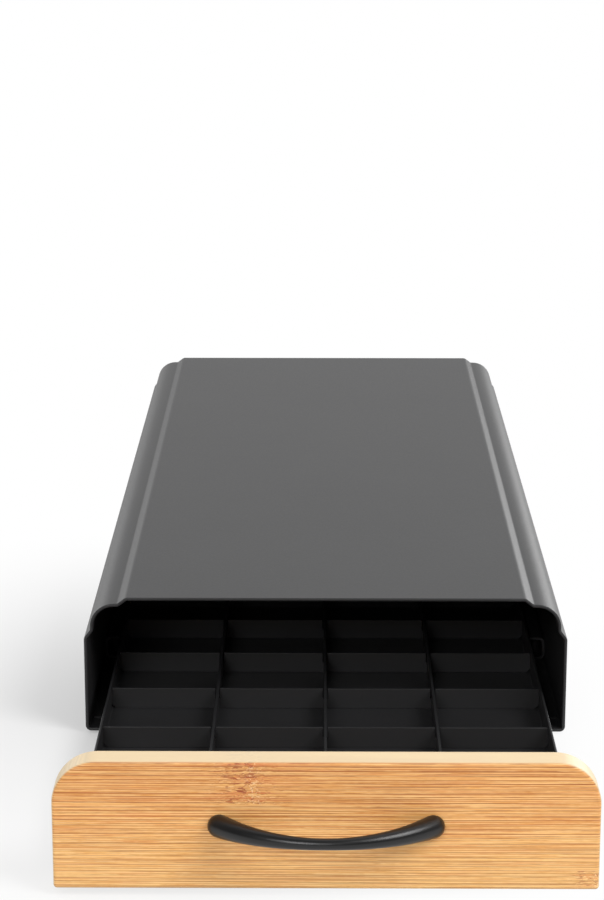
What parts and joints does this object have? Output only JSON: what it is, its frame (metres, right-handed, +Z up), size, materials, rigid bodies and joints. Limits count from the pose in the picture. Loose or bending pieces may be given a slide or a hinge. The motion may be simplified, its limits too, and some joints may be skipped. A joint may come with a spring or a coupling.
{
  "type": "coffee pod drawer",
  "caption": "Low steel housing with stepped round shoulders and a pull-out tray with a divider grid for coffee pods, a bamboo front and a bow handle; a coffee machine stands on top.",
  "frame": {"origin": "centre of the footprint on the table, with the drawer standing open as it is used", "axes": "+Y from the drawer's front to the rear of the housing, +Z up, +X to the right seen from the front"},
  "size_m": [0.175, 0.5536, 0.052],
  "materials": {
    "housing_powder_coat": "satin charcoal powder coat",
    "drawer_powder_coat": "satin black powder coat",
    "nylon": "natural nylon",
    "rubber": "matt",
    "bamboo": "oiled laminated bamboo",
    "handle_lacquer": "satin black lacquer",
    "zinc_screw": "bright zinc"
  },
  "bodies": {
    "housing": {"housing_shell": "housing_powder_coat", "rear_panel": "housing_powder_coat", "base_plate": "housing_powder_coat", "rail_left": "housing_powder_coat", "rail_right": "housing_powder_coat", "stop_pin_left": "housing_powder_coat", "stop_pin_right": "housing_powder_coat", "front_glide_left": "nylon", "front_glide_right": "nylon", "rear_bumper_left": "rubber", "rear_bumper_right": "rubber", "foot_front_left": "rubber", "foot_front_right": "rubber", "foot_rear_left": "rubber", "foot_rear_right": "rubber"},
    "drawer": {"drawer_tray": "drawer_powder_coat", "slide_shoe_left": "nylon", "slide_shoe_right": "nylon", "drawer_front": "bamboo", "front_screws": "zinc_screw", "handle": "handle_lacquer", "handle_screws": "zinc_screw", "handle_washers": "zinc_screw", "long_divider_1": "drawer_powder_coat", "long_divider_2": "drawer_powder_coat", "long_divider_3": "drawer_powder_coat", "cross_divider_1": "drawer_powder_coat", "cross_divider_2": "drawer_powder_coat", "cross_divider_3": "drawer_powder_coat", "cross_divider_4": "drawer_powder_coat", "cross_divider_5": "drawer_powder_coat", "cross_divider_6": "drawer_powder_coat", "cross_divider_7": "drawer_powder_coat", "cross_divider_8": "drawer_powder_coat"}
  },
  "joints": [
    {"name": "drawer_slide", "type": "slide", "parent": "housing", "child": "drawer", "axis": [0, -1, 0], "range_m": [-0.1395, 0.1505]}
  ]
}
